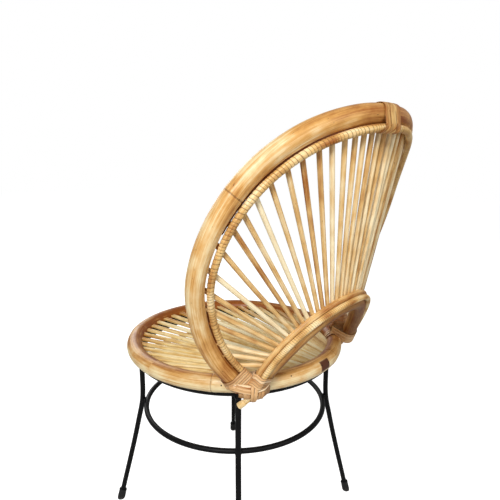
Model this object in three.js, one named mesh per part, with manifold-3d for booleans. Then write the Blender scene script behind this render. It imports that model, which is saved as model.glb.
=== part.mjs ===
// Peacock side chair: a rattan fan back and a round fan-slatted seat on a welded rod base.
// Millimetres, +Z up. The sitter faces -Y, the floor is Z = 0, and lengths inside the chair
// group are measured from the centre of the seat ring.
import * as THREE from "three";
import { mergeVertices } from "three/addons/utils/BufferGeometryUtils.js";
import Module from "manifold-3d";

const wasm = await Module();
wasm.setup();

// Fits
const FIT = 0.3; // gap between pieces that bear on each other
const BITE = 2; // depth that a piece runs past its seat before it is coped

// Seat
const SEAT_HEIGHT = 450; // floor to the top of the seat ring
const SEAT_RING_RADIUS = 215; // centre line of the ring pole
const SEAT_POLE = 33.6; // diameter of the ring pole
const SLATS_EACH_SIDE = 14;
const SLAT_FRONT_STEP = 7.45; // degrees round the front rim from slat to slat
const SLAT_REAR_STEP = 7.8; // pitch across the rear rim
const SLAT_FRONT_WIDTH = 13;
const SLAT_REAR_WIDTH = 6.6;
const SLAT_FRONT_THICKNESS = 7;
const SLAT_REAR_THICKNESS = 4;
const SLAT_RISE = 4; // slat axis above the ring's centre plane
const BATTEN = 9; // diameter of the cross battens under the slats
const BATTEN_PLACES = [-95, 95]; // battens in front of and behind the seat's middle
const BATTEN_GRIP = 0.8; // depth of the notch where a slat sits in a batten

// Base
const ROD = 11.5; // diameter of the metal rod
const BASE_RING_INSET = 5.4; // top ring's centre line inside the seat ring's
const STRETCHER_RADIUS = SEAT_RING_RADIUS - 13;
const STRETCHER_DROP = 153; // stretcher ring below the seat ring's centre plane
const LEG_STRAIGHT = 70; // upright run of a leg under the top ring
const LEG_SPLAY_DROP = 51; // height below the stretcher where the splay begins
const LEG_SPLAY = 12; // how far out the leg has moved there
const FOOT_RADIUS = SEAT_RING_RADIUS + 71; // circle on the floor through the feet
const LEGS = 4;
const CAP_DIAMETER = 18;
const CAP_LENGTH = 24;
const CAP_SOLE = 5; // thickness of the cap under the rod

// Back: the hoop
const HOOP_POLE = 29.4; // diameter of the outer hoop
// Half outline of the hoop from its crown, as [across, up] seen from the front
const HOOP_OUTLINE = [
  [0, 435],
  [77, 429],
  [149, 404],
  [209, 356],
  [248, 290],
  [260, 215],
  [244, 140],
  [213, 70],
];
const HOOP_FOOT_ACROSS = 171.5;
const HOOP_FOOT_RISE = 10;
const INNER_HOOP = 11; // diameter of the cane-wrapped rod behind the spokes
const INNER_CLEAR = 2.4; // gap between the two hoops, where the spokes' heads go in
const INNER_ANGLE = 38.4; // degrees from inward to rearward round the hoop pole

// Back: the curved surface that the hoop and the spokes follow
const BACK_OVERHANG = 37.3; // its middle behind the seat ring's centre line at seat level
const BACK_LEAN = 0.1094;
const BACK_LEAN_GROWTH = 3.46e-5;
const BACK_OPENING = 2.148e-6; // how the wrap eases with height
const BACK_OPENING_GROWTH = 1.164e-9;
const BACK_EDGE_EASE = 1.553e-8;

// Back: the arch and the spokes
const ARCH_POLE = 28.6; // diameter of the arch's thick pole
const ARCH_RISE = 139;
const ARCH_HALF_WIDTH = 156.5;
const ARCH_POWER = 2.29;
const ARCH_HUB_DROP = 60; // the point below the seat that the arch's section looks to
const ARCH_POLE_END = 6; // height of the pole's cut ends
const ARCH_ROD = 10.2; // diameter of the two rods that lie on the pole
const ROD_LEAN = 33; // degrees from the rear of the pole up to the rear rod at the crown
const ROD_LEAN_RIGHT = 22; // more lean at the right haunch, lost again at the foot
const ROD_LEAN_LEFT = 50; // more lean at the left foot
const ROD_END_RIGHT = -17; // height of the rear rod's cut end, which shows under the lashing
const ROD_END_LEFT = 20; // height at which the rods stop at the hoop's feet
const SPOKE_HEAD = 8.2; // diameter at the hoop
const SPOKE_FOOT = 7.4; // diameter at the arch
const SPOKE_ARCH_PITCH = 9.2;
// Hand-set spacing along the inner hoop, outward from the middle of the fan
const SPOKE_STEPS_RIGHT = [
  8, 16, 16, 17, 17, 19, 22, 21, 27, 25, 29, 27, 27, 25, 34, 38, 32, 31, 26, 41, 26, 26,
];
const SPOKE_STEPS_LEFT = [
  8, 18, 19, 20, 22, 25, 28, 31, 33, 34, 35, 37, 40, 42, 42, 42, 40, 36,
];
const FAN_SHIFT_HOOP = 4.3; // the fan's middle stands to the +X side of the crown
const FAN_SHIFT_ARCH = -19; // and to the -X side of the arch's middle

// Bindings
const WRAP_THICKNESS = 1.8;
const TOP_WRAP_LENGTH = 36;
const TOP_WRAP_SHIFT = 10; // its middle stands to the +X side of the crown
const LASHING_FROM = 39; // degrees from +X round to the rear
const LASHING_TO = 66;
const LASHING_REACH = 35; // outward from the seat ring to round the feet of the hoop and the arch
const LASHING_RISE = 6; // upward from the seat ring to the middle of those feet
const LASHING_TIP = 15.5; // radius of the lashing outside the feet
const LASHING_FULLNESS = 0.4; // power of its sine outline: the lower, the squarer its shoulders

// Facets
const POLE_SIDES = 10;
const ROD_SIDES = 8;
const CANE_SIDES = 6; // spokes, slats and other thin canes
const RING_STEPS = 48;
const HOOP_STEPS = 40;
const ARCH_STEPS = 24;
const LEG_STEPS = 12;
const BINDING_SIDES = 16;
const BINDING_STEPS = 8;

// Materials
const RATTAN = { color: 0xc98f4a, roughness: 0.45, metalness: 0 };
const CANE = { color: 0xd9b279, roughness: 0.55, metalness: 0 };
const METAL = { color: 0x101010, roughness: 0.4, metalness: 0.5 };
const RUBBER = { color: 0x161616, roughness: 0.8, metalness: 0 };

const UP = new THREE.Vector3(0, 0, 1);
const REAR = new THREE.Vector3(0, 1, 0);
const radians = THREE.MathUtils.degToRad;

// A closed skin over a row of rings of points, with a flat cap on each open end
function skin(rings) {
  const count = rings[0].length;
  const position = rings.flat().flatMap((p) => [p.x, p.y, p.z]);
  const index = [];
  for (let i = 0; i + 1 < rings.length; i++) {
    for (let k = 0; k < count; k++) {
      const a = i * count + k;
      const b = i * count + ((k + 1) % count);
      index.push(a, b, b + count, a, b + count, a + count);
    }
  }
  const last = (rings.length - 1) * count;
  for (let k = 1; k + 1 < count; k++) {
    index.push(0, k + 1, k);
    index.push(last, last + k, last + k + 1);
  }
  const geometry = new THREE.BufferGeometry();
  geometry.setAttribute("position", new THREE.Float32BufferAttribute(position, 3));
  geometry.setIndex(index);
  return geometry;
}

// A curve given by a function of 0..1
function curveOf(pointAt) {
  const curve = new THREE.Curve();
  curve.getPoint = (t, target = new THREE.Vector3()) => target.copy(pointAt(t));
  return curve;
}

// A round rod along an open curve
function rodAlong(curve, radius, sides, steps) {
  const frames = curve.computeFrenetFrames(steps, false);
  const rings = [];
  for (let i = 0; i <= steps; i++) {
    const centre = curve.getPointAt(i / steps);
    const ring = [];
    for (let k = 0; k < sides; k++) {
      const angle = (2 * Math.PI * k) / sides;
      ring.push(
        centre
          .clone()
          .addScaledVector(frames.normals[i], radius * Math.cos(angle))
          .addScaledVector(frames.binormals[i], radius * Math.sin(angle)),
      );
    }
    rings.push(ring);
  }
  return skin(rings);
}

// A straight round bar, tapered from one end to the other
function barBetween(from, to, fromRadius, toRadius, sides) {
  const length = from.distanceTo(to);
  const geometry = new THREE.CylinderGeometry(toRadius, fromRadius, length, sides);
  const along = to.clone().sub(from).normalize();
  const turn = new THREE.Quaternion().setFromUnitVectors(REAR, along);
  geometry.applyQuaternion(turn);
  geometry.translate(...from.clone().lerp(to, 0.5).toArray());
  return geometry;
}

// Outline of a tight belt round circles given as [x, y, radius], one point for each direction
function beltRound(circles, count) {
  const outline = [];
  for (let k = 0; k < count; k++) {
    const angle = (2 * Math.PI * k) / count;
    const way = new THREE.Vector2(Math.cos(angle), Math.sin(angle));
    const reach = ([x, y, radius]) => x * way.x + y * way.y + radius;
    const [x, y, radius] = circles.reduce((a, b) => (reach(b) > reach(a) ? b : a));
    outline.push(new THREE.Vector2(x + radius * way.x, y + radius * way.y));
  }
  return outline;
}

// Solids for joining and cutting
function solidOf(geometry) {
  const bare = new THREE.BufferGeometry();
  bare.setAttribute("position", geometry.getAttribute("position"));
  bare.setIndex(geometry.index);
  const merged = mergeVertices(bare, 1e-4);
  const solid = new wasm.Manifold(
    new wasm.Mesh({
      numProp: 3,
      vertProperties: merged.attributes.position.array,
      triVerts: new Uint32Array(merged.index.array),
    }),
  );
  return solid;
}

function geometryOf(solid) {
  const mesh = solid.getMesh();
  const geometry = new THREE.BufferGeometry();
  geometry.setAttribute("position", new THREE.BufferAttribute(mesh.vertProperties, 3));
  geometry.setIndex(new THREE.BufferAttribute(mesh.triVerts, 1));
  return geometry;
}

// What is left of a solid after cutting, without the crumbs beyond the cuts
function cut(solid, cutters) {
  const left = cutters.reduce((rest, cutter) => rest.subtract(cutter), solid);
  const bodies = left.decompose();
  return bodies.reduce((a, b) => (b.volume() > a.volume() ? b : a));
}

const chair = new THREE.Group();

function add(name, geometry, look) {
  const mesh = new THREE.Mesh(geometry, new THREE.MeshStandardMaterial(look));
  mesh.name = name;
  chair.add(mesh);
  return mesh;
}

// Seat ring
const seatRing = (grow) =>
  new THREE.TorusGeometry(SEAT_RING_RADIUS, SEAT_POLE / 2 + grow, POLE_SIDES, RING_STEPS);
const seatRingCutter = solidOf(seatRing(FIT));
add("seat_ring", seatRing(0), RATTAN);

// Metal base: two rings, splayed legs outside the lower one, and their floor caps
const baseRingRadius = SEAT_RING_RADIUS - BASE_RING_INSET;
const ringPoleDepth = Math.sqrt((SEAT_POLE / 2 + ROD / 2 + FIT) ** 2 - BASE_RING_INSET ** 2);
const baseRing = (grow) =>
  new THREE.TorusGeometry(baseRingRadius, ROD / 2 + grow, ROD_SIDES, RING_STEPS).translate(
    0,
    0,
    -ringPoleDepth,
  );
const baseRingCutter = solidOf(baseRing(FIT));
add("base_top_ring", baseRing(0), METAL);

const stretcher = new THREE.TorusGeometry(STRETCHER_RADIUS, ROD / 2, ROD_SIDES, RING_STEPS);
add("base_stretcher_ring", stretcher.translate(0, 0, -STRETCHER_DROP), METAL);

const floor = SEAT_POLE / 2 - SEAT_HEIGHT;
const legKnee = STRETCHER_RADIUS + ROD + FIT;
const legProfile = [
  [baseRingRadius, -ringPoleDepth],
  [baseRingRadius, -ringPoleDepth - LEG_STRAIGHT],
  [legKnee, -STRETCHER_DROP],
  [legKnee + LEG_SPLAY, -STRETCHER_DROP - LEG_SPLAY_DROP],
  [FOOT_RADIUS, floor + CAP_SOLE],
];
const legCutters = [];
for (let i = 0; i < LEGS; i++) {
  const bearing = radians(45 + (360 / LEGS) * i);
  const at = ([radius, height]) =>
    new THREE.Vector3(radius * Math.cos(bearing), radius * Math.sin(bearing), height);
  const path = new THREE.CatmullRomCurve3(legProfile.map(at), false, "centripetal");
  const leg = (grow) => solidOf(rodAlong(path, ROD / 2 + grow, ROD_SIDES, LEG_STEPS));
  const legSolid = cut(leg(0), [baseRingCutter]);
  add(`leg_${i + 1}`, geometryOf(legSolid), METAL);
  legCutters.push(leg(FIT));

  const foot = path.getPointAt(1);
  const up = path.getTangentAt(1).negate();
  const capTop = foot.clone().addScaledVector(up, CAP_LENGTH);
  const capToe = foot.clone().addScaledVector(up, -2 * CAP_SOLE);
  const capBar = barBetween(capToe, capTop, CAP_DIAMETER / 2, CAP_DIAMETER / 2, POLE_SIDES);
  const ground = new THREE.BoxGeometry(FOOT_RADIUS, FOOT_RADIUS, SEAT_HEIGHT);
  ground.translate(foot.x, foot.y, floor - SEAT_HEIGHT / 2);
  const cap = cut(solidOf(capBar), [solidOf(ground), leg(FIT)]);
  add(`foot_cap_${i + 1}`, geometryOf(cap), RUBBER);
}

// The back's surface: distance to the rear at a place across and a height
const footGap = (SEAT_POLE + HOOP_POLE) / 2 + FIT;
const footRadius = SEAT_RING_RADIUS + Math.sqrt(footGap ** 2 - HOOP_FOOT_RISE ** 2);
const footRear = Math.sqrt(footRadius ** 2 - HOOP_FOOT_ACROSS ** 2);
const middleRear = (z) =>
  SEAT_RING_RADIUS + BACK_OVERHANG + BACK_LEAN * z + BACK_LEAN_GROWTH * z ** 2;
const opening = (z) => BACK_OPENING * z + BACK_OPENING_GROWTH * z ** 2;
const footEase = BACK_EDGE_EASE * HOOP_FOOT_ACROSS ** 4;
const backWrap =
  (middleRear(HOOP_FOOT_RISE) + footEase - footRear) / HOOP_FOOT_ACROSS ** 2 +
  opening(HOOP_FOOT_RISE);
const backRear = (x, z) =>
  middleRear(z) - (backWrap - opening(z)) * x ** 2 + BACK_EDGE_EASE * x ** 4;
const onBack = (x, z, set = 0) => new THREE.Vector3(x, backRear(x, z) + set, z);

// Directions at a place on a curve of the back: inward to a hub, and to the rear
function sectionAt(curve, t, hub) {
  const point = curve.getPoint(t);
  const along = curve.getTangent(t);
  const inward = hub.clone().sub(point).setY(0);
  inward.addScaledVector(along, -inward.dot(along)).normalize();
  const rear = along.clone().cross(inward);
  rear.multiplyScalar(Math.sign(rear.y));
  return { point, inward, rear };
}

function beside(curve, t, hub, inset, set) {
  const { point, inward, rear } = sectionAt(curve, t, hub);
  return point.addScaledVector(inward, inset).addScaledVector(rear, set);
}

// Arch pole, bent over the rear of the seat, its legs coped to the outside of the seat ring
const archAcross = (z) => ARCH_HALF_WIDTH * (1 - z / ARCH_RISE) ** (1 / ARCH_POWER);
const archHeight = (x) => ARCH_RISE * (1 - (Math.abs(x) / ARCH_HALF_WIDTH) ** ARCH_POWER);
const archCurve = (leftEnd, rightEnd) =>
  curveOf((t) => {
    const x = THREE.MathUtils.lerp(-archAcross(leftEnd), archAcross(rightEnd), t);
    return onBack(x, archHeight(x));
  });
const archHub = new THREE.Vector3(0, 0, -ARCH_HUB_DROP);
const archPoleCurve = archCurve(ARCH_POLE_END, ARCH_POLE_END);
const archPole = (grow) =>
  solidOf(rodAlong(archPoleCurve, ARCH_POLE / 2 + grow, POLE_SIDES, ARCH_STEPS));
const archPoleCutter = archPole(FIT);
add("arch_pole", geometryOf(cut(archPole(0), [seatRingCutter])), RATTAN);

// Outer hoop, its feet coped between the seat ring and the legs of the arch
const halfOutline = [...HOOP_OUTLINE, [HOOP_FOOT_ACROSS, HOOP_FOOT_RISE]];
const mirrored = halfOutline
  .slice(1)
  .reverse()
  .map(([x, z]) => [-x, z]);
const hoopFront = new THREE.SplineCurve(
  [...mirrored, ...halfOutline].map(([x, z]) => new THREE.Vector2(x, z)),
);
const hoopCurve = curveOf((t) => {
  const p = hoopFront.getPoint(t);
  return onBack(p.x, p.y);
});
const hoopHub = new THREE.Vector3(0, 0, HOOP_OUTLINE[0][1] / 2);
const offHoop = (t, inset, set) => beside(hoopCurve, t, hoopHub, inset, set);
const hoop = (grow) => rodAlong(hoopCurve, HOOP_POLE / 2 + grow, POLE_SIDES, HOOP_STEPS);
const hoopCutter = solidOf(hoop(FIT));
add("outer_hoop", geometryOf(cut(solidOf(hoop(0)), [seatRingCutter, archPoleCutter])), RATTAN);

// Inner hoop, on the rear inner side of the outer one
const innerGap = (HOOP_POLE + INNER_HOOP) / 2 + INNER_CLEAR;
const innerInset = innerGap * Math.cos(radians(INNER_ANGLE));
const innerSet = innerGap * Math.sin(radians(INNER_ANGLE));
const innerCurve = curveOf((t) => offHoop(t, innerInset, innerSet));
const inner = (grow) => rodAlong(innerCurve, INNER_HOOP / 2 + grow, CANE_SIDES, HOOP_STEPS);
const innerCutter = solidOf(inner(FIT));
const innerSolid = cut(solidOf(inner(0)), [hoopCutter, archPoleCutter, seatRingCutter]);
add("inner_hoop", geometryOf(innerSolid), CANE);

// Arch rods: a top rod that the spokes stop at and a wound rear rod, side by side on the pole
const rodReach = (ARCH_POLE + ARCH_ROD) / 2 + FIT;
const rodStep = THREE.MathUtils.radToDeg(2 * Math.asin((ARCH_ROD + FIT) / 2 / rodReach));
function rodLean(x) {
  const out = Math.min(Math.abs(x) / ARCH_HALF_WIDTH, 1);
  const more = x > 0 ? ROD_LEAN_RIGHT * Math.sin(Math.PI * out ** 2.5) : ROD_LEAN_LEFT * out ** 3;
  return ROD_LEAN + more;
}
function rodOnPole(rightEnd, step) {
  const under = archCurve(ROD_END_LEFT, rightEnd);
  return curveOf((t) => {
    const lean = radians(rodLean(under.getPoint(t).x) + step);
    return beside(under, t, archHub, -rodReach * Math.sin(lean), rodReach * Math.cos(lean));
  });
}
const rearRodCurve = rodOnPole(ROD_END_RIGHT, 0);
const topRodCurve = rodOnPole(ROD_END_LEFT, rodStep);
const archRod = (curve, grow) =>
  solidOf(rodAlong(curve, ARCH_ROD / 2 + grow, CANE_SIDES, ARCH_STEPS));
const poleCutters = [hoopCutter, innerCutter, seatRingCutter, archPoleCutter];
const rearRodCutter = archRod(rearRodCurve, FIT);
const topRodCutter = archRod(topRodCurve, FIT);
const archCutters = [archPoleCutter, rearRodCutter, topRodCutter];
const topRod = cut(archRod(topRodCurve, 0), [...poleCutters, rearRodCutter]);
add("arch_top_rod", geometryOf(topRod), RATTAN);
add("arch_rear_rod", geometryOf(cut(archRod(rearRodCurve, 0), poleCutters)), CANE);

// Spokes: straight rods from the arch, past the inner hoop, to the outer hoop
const innerLength = innerCurve.getLength();
const archLength = archPoleCurve.getLength();
const headSet = innerSet - (INNER_HOOP + SPOKE_HEAD) / 2 - FIT;
const spokeCutters = [];
function addSpokes(name, side, steps) {
  let along = 0;
  steps.forEach((step, i) => {
    along += step;
    const onInner = (side * along + FAN_SHIFT_HOOP) / innerLength;
    const t = innerCurve.getUtoTmapping(0.5 + onInner);
    const head = offHoop(t, HOOP_POLE / 2 - BITE, headSet);
    const onArch = (side * SPOKE_ARCH_PITCH * (i + 0.5) + FAN_SHIFT_ARCH) / archLength;
    const foot = archPoleCurve.getPointAt(0.5 + onArch);
    const spoke = (grow) =>
      solidOf(barBetween(foot, head, SPOKE_FOOT / 2 + grow, SPOKE_HEAD / 2 + grow, CANE_SIDES));
    const solid = cut(spoke(0), [hoopCutter, innerCutter, ...archCutters, ...spokeCutters.slice(-1)]);
    add(`${name}_${i + 1}`, geometryOf(solid), RATTAN);
    spokeCutters.push(spoke(FIT));
  });
}
addSpokes("spoke_left", -1, SPOKE_STEPS_LEFT);
addSpokes("spoke_right", 1, SPOKE_STEPS_RIGHT);

// Top wrap: cane round both hoops at the middle of the fan
const wrapAt = (place) => innerCurve.getUtoTmapping(0.5 + place / innerLength);
const wrapOutline = beltRound(
  [
    [0, 0, HOOP_POLE / 2 + WRAP_THICKNESS],
    [innerInset, innerSet, INNER_HOOP / 2 + WRAP_THICKNESS],
  ],
  BINDING_SIDES,
);
const wrapRings = [];
for (let i = 0; i <= BINDING_STEPS; i++) {
  const t = wrapAt(TOP_WRAP_LENGTH * (i / BINDING_STEPS - 0.5) + TOP_WRAP_SHIFT);
  wrapRings.push(wrapOutline.map((p) => offHoop(t, p.x, p.y)));
}
const topWrap = solidOf(skin(wrapRings));
add("top_wrap", geometryOf(cut(topWrap, [hoopCutter, innerCutter, ...spokeCutters])), CANE);

// Lashings: cane round the seat ring, the base ring, and the feet of the hoop and the arch
function lashing(side, grow) {
  const rings = [];
  for (let i = 0; i <= BINDING_STEPS; i++) {
    const share = i / BINDING_STEPS;
    const bearing = radians(THREE.MathUtils.lerp(LASHING_FROM, LASHING_TO, share));
    const swell = Math.abs(Math.sin(Math.PI * share)) ** LASHING_FULLNESS;
    const tip = [SEAT_RING_RADIUS + LASHING_REACH * swell, LASHING_RISE * swell];
    const outline = beltRound(
      [
        [SEAT_RING_RADIUS, 0, SEAT_POLE / 2 + WRAP_THICKNESS + grow],
        [baseRingRadius, -ringPoleDepth, ROD / 2 + WRAP_THICKNESS + grow],
        [...tip, LASHING_TIP + WRAP_THICKNESS + grow],
      ],
      BINDING_SIDES,
    );
    const place = (p) =>
      new THREE.Vector3(side * p.x * Math.cos(bearing), p.x * Math.sin(bearing), p.y);
    const ring = outline.map(place);
    rings.push(side < 0 ? ring : ring.reverse());
  }
  return solidOf(skin(rings));
}
const lashingCutters = [
  ...poleCutters,
  ...archCutters,
  ...spokeCutters,
  ...legCutters,
  baseRingCutter,
];
add("lashing_right", geometryOf(cut(lashing(1, 0), lashingCutters)), CANE);
add("lashing_left", geometryOf(cut(lashing(-1, 0), lashingCutters)), CANE);

// Seat slats: tapered flat bars fanning from the rear rim, notched over two cross battens
const rimRadius = SEAT_RING_RADIUS - SEAT_POLE / 2;
const rimBite = SEAT_POLE - BITE;
function slat(side, i) {
  const frontBearing = radians(-90 + side * SLAT_FRONT_STEP * (i + 0.5));
  const rearAcross = side * SLAT_REAR_STEP * (i + 0.5);
  const rimPoint = (angle) =>
    new THREE.Vector3(rimRadius * Math.cos(angle), rimRadius * Math.sin(angle), SLAT_RISE);
  const front = rimPoint(frontBearing);
  const rear = rimPoint(Math.acos(rearAcross / rimRadius));
  const along = front.clone().sub(rear).normalize();
  const across = along.clone().cross(UP);
  const section = (centre, width, thickness) => {
    const ring = [];
    for (let k = 0; k < CANE_SIDES; k++) {
      const angle = (2 * Math.PI * k) / CANE_SIDES;
      ring.push(
        centre
          .clone()
          .addScaledVector(across, (width / 2) * Math.cos(angle))
          .addScaledVector(UP, (thickness / 2) * Math.sin(angle)),
      );
    }
    return ring;
  };
  const rearEnd = rear.addScaledVector(along, -rimBite);
  const frontEnd = front.addScaledVector(along, rimBite);
  return solidOf(
    skin([
      section(frontEnd, SLAT_FRONT_WIDTH, SLAT_FRONT_THICKNESS),
      section(rearEnd, SLAT_REAR_WIDTH, SLAT_REAR_THICKNESS),
    ]),
  );
}
const battenHeight = SLAT_RISE - SLAT_REAR_THICKNESS / 2 + BATTEN_GRIP - BATTEN / 2;
const battens = BATTEN_PLACES.map((y) => {
  const reach = Math.sqrt(rimRadius ** 2 - y ** 2) + rimBite / 2;
  const left = new THREE.Vector3(-reach, y, battenHeight);
  const right = new THREE.Vector3(reach, y, battenHeight);
  return solidOf(barBetween(left, right, BATTEN / 2, BATTEN / 2, CANE_SIDES));
});
const slats = [];
for (let i = 0; i < SLATS_EACH_SIDE; i++) {
  slats.push(slat(-1, i), slat(1, i));
}
const seat = [...battens, ...slats].reduce((a, b) => a.add(b));
const seatCutters = [seatRingCutter, lashing(1, FIT), lashing(-1, FIT)];
add("seat_slats", geometryOf(cut(seat, seatCutters)), RATTAN);

// Stand the chair on the floor with its outline centred
const outline = new THREE.Box3().setFromObject(chair);
chair.position.set(0, -(outline.min.y + outline.max.y) / 2, -floor);

const part = new THREE.Group();
part.add(chair);

export default part;
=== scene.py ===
import bpy
import numpy as np
from mathutils import Matrix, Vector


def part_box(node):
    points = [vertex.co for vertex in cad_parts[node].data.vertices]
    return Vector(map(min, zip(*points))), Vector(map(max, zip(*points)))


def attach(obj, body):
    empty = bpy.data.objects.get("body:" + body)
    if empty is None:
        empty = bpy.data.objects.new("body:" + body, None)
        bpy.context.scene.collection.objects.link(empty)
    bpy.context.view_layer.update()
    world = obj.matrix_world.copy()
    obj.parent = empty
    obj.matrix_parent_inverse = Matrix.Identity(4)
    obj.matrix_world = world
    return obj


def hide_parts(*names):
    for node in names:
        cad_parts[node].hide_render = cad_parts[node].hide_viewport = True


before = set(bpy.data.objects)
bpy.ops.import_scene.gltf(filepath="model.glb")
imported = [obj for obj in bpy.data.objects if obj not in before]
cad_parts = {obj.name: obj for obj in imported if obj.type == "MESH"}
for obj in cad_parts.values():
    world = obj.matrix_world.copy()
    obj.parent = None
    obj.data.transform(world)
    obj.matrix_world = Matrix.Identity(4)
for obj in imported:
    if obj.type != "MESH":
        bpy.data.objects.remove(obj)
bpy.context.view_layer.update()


# Black rod base
# Round steel bar, bent cold to two rings and four legs, welded together and powder coated in satin black.
# The legs stand under the top ring, hold the stretcher ring between them and splay out to the floor.

SEAT = np.mean(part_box("seat_ring"), axis=0)
UP = np.array([0.0, 0.0, 1.0])
BAR = 0.0115
BAR_SIDES = 14
LEG_BEARINGS = np.radians([45, 135, 225, 315])
LEG_PROFILE = np.array([
    [0.2096, -0.0222],
    [0.2096, -0.0922],
    [0.2138, -0.1530],
    [0.2258, -0.2040],
    [0.2860, -0.4282],
])
COLLAR_START = 0.003
COLLAR_LENGTH = 0.008
COLLAR_SWELL = 0.0021
STRETCHER_WELD = (0.2079, -0.153)
BEAD_HALF = 0.0072
BEAD_EDGE = 0.0004
BEAD_THICK = 0.0056
BEAD_LUMP = 0.0003
COLLAR_LUMP = 0.09
GRAIN_STEP = 1.37


def unit(vectors):
    """Each vector divided by its own length."""
    return vectors / np.linalg.norm(vectors, axis=-1, keepdims=True)


def measure(path):
    """The length run along a path up to each of its points."""
    return np.concatenate(([0.0], np.cumsum(np.linalg.norm(np.diff(path, axis=0), axis=1))))


def at_run(path, run, held=None):
    """The points of a path at given lengths along it, or the directions or points that are held with it."""
    length = measure(path)
    rows = path if held is None else held
    return np.stack([np.interp(run, length, rows[:, axis]) for axis in range(3)], axis=-1)


def bend(points, knots, count):
    """A smooth path through points at the given knots: between two points it is the cubic whose slopes there
    are those of the parabola through each point and its neighbours."""
    slope = np.gradient(points, knots, axis=0)
    place = np.linspace(knots[0], knots[-1], count)
    before = np.clip(np.searchsorted(knots, place, "right") - 1, 0, len(knots) - 2)
    span = np.diff(knots)[before][:, None]
    part = (place - knots[before])[:, None] / span
    start = points[before] * (1 + 2 * part) + slope[before] * span * part
    end = points[before + 1] * (3 - 2 * part) - slope[before + 1] * span * (1 - part)
    return start * (1 - part) ** 2 + end * part ** 2


def rod(path, facing, radius, sides, ring=False, tone=0.5, mark=0.0):
    """The skin of a rod: round each path point stands a circle square to the path, started at the facing
    direction. grain is each point's place in the rod laid straight: two parts across it and the run
    along it."""
    step = np.roll(path, -1, axis=0) - np.roll(path, 1, axis=0) if ring else np.gradient(path, axis=0)
    along = unit(step)
    first = unit(facing - np.sum(facing * along, axis=-1, keepdims=True) * along)
    second = np.cross(along, first)
    angle = np.linspace(0, 2 * np.pi, sides, endpoint=False)
    size = np.broadcast_to(radius, (len(path), sides))
    wide = size * np.cos(angle)
    deep = size * np.sin(angle)
    skin = path[:, None] + wide[..., None] * first[:, None] + deep[..., None] * second[:, None]
    run = np.broadcast_to(measure(path)[:, None], wide.shape)
    return {"skin": skin, "grain": np.stack([wide, deep, run], axis=-1), "ring": ring,
            "tone": np.broadcast_to(tone, wide.shape), "mark": np.broadcast_to(mark, wide.shape)}


def assemble(name, skins, finish, nodes=(), crease=50):
    """One mesh of several skins. A skin is a grid whose columns close round it. Its rows close too on a ring,
    and elsewhere a fan from the middle of each end row shuts the end. Each skin has its own stretch of
    grain, a step further along."""
    points, grain, tone, mark, faces, count = [], [], [], [], [], 0
    for order, skin in enumerate(skins):
        rows, sides = skin["skin"].shape[:2]
        row = np.arange(rows if skin["ring"] else rows - 1)[:, None]
        side = np.arange(sides)[None, :]
        corners = [row * sides + side, row * sides + (side + 1) % sides,
                   (row + 1) % rows * sides + (side + 1) % sides, (row + 1) % rows * sides + side]
        faces += (count + np.stack(corners, axis=-1).reshape(-1, 4)).tolist()
        shift = GRAIN_STEP * order * UP
        points.append(skin["skin"].reshape(-1, 3))
        grain.append(skin["grain"].reshape(-1, 3) + shift)
        tone.append(skin["tone"].ravel())
        mark.append(skin["mark"].ravel())
        added = rows * sides
        if not skin["ring"]:
            points.append(skin["skin"][[0, -1]].mean(axis=1))
            grain.append(skin["grain"][[0, -1]].mean(axis=1) + shift)
            tone.append(skin["tone"][[0, -1], 0])
            mark.append(skin["mark"][[0, -1], 0])
            near = np.arange(sides)
            ahead = (near + 1) % sides
            first_end = np.stack([np.full(sides, added), ahead, near], axis=-1)
            last_row = added - sides
            last_end = np.stack([np.full(sides, added + 1), last_row + near, last_row + ahead], axis=-1)
            faces += (count + first_end).tolist() + (count + last_end).tolist()
            added += 2
        count += added
    mesh = bpy.data.meshes.new(name)
    mesh.from_pydata(np.concatenate(points).tolist(), [], faces)
    along_grain = mesh.attributes.new("grain", "FLOAT_VECTOR", "POINT")
    along_grain.data.foreach_set("vector", np.concatenate(grain).ravel())
    mesh.attributes.new("tone", "FLOAT", "POINT").data.foreach_set("value", np.concatenate(tone))
    mesh.attributes.new("mark", "FLOAT", "POINT").data.foreach_set("value", np.concatenate(mark))
    mesh.shade_smooth()
    mesh.set_sharp_from_angle(angle=np.radians(crease))
    mesh.materials.append(finish.material)
    piece = bpy.data.objects.new(name, mesh)
    bpy.context.scene.collection.objects.link(piece)
    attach(piece, "root")
    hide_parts(*nodes)


class Wire:
    """A value that runs between shader nodes. Sums and products of wires and numbers become Math nodes."""

    def __init__(self, nodes, socket):
        self.nodes = nodes
        self.socket = socket

    def work_out(self, operation, first, second):
        """One Math node on two values."""
        return self.nodes.node("ShaderNodeMath", {"operation": operation}, {0: first, 1: second})

    def __add__(self, other):
        return self.work_out("ADD", self, other)

    def __sub__(self, other):
        return self.work_out("SUBTRACT", self, other)

    def __rsub__(self, other):
        return self.work_out("SUBTRACT", other, self)

    def __mul__(self, other):
        return self.work_out("MULTIPLY", self, other)

    __radd__ = __add__
    __rmul__ = __mul__


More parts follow.
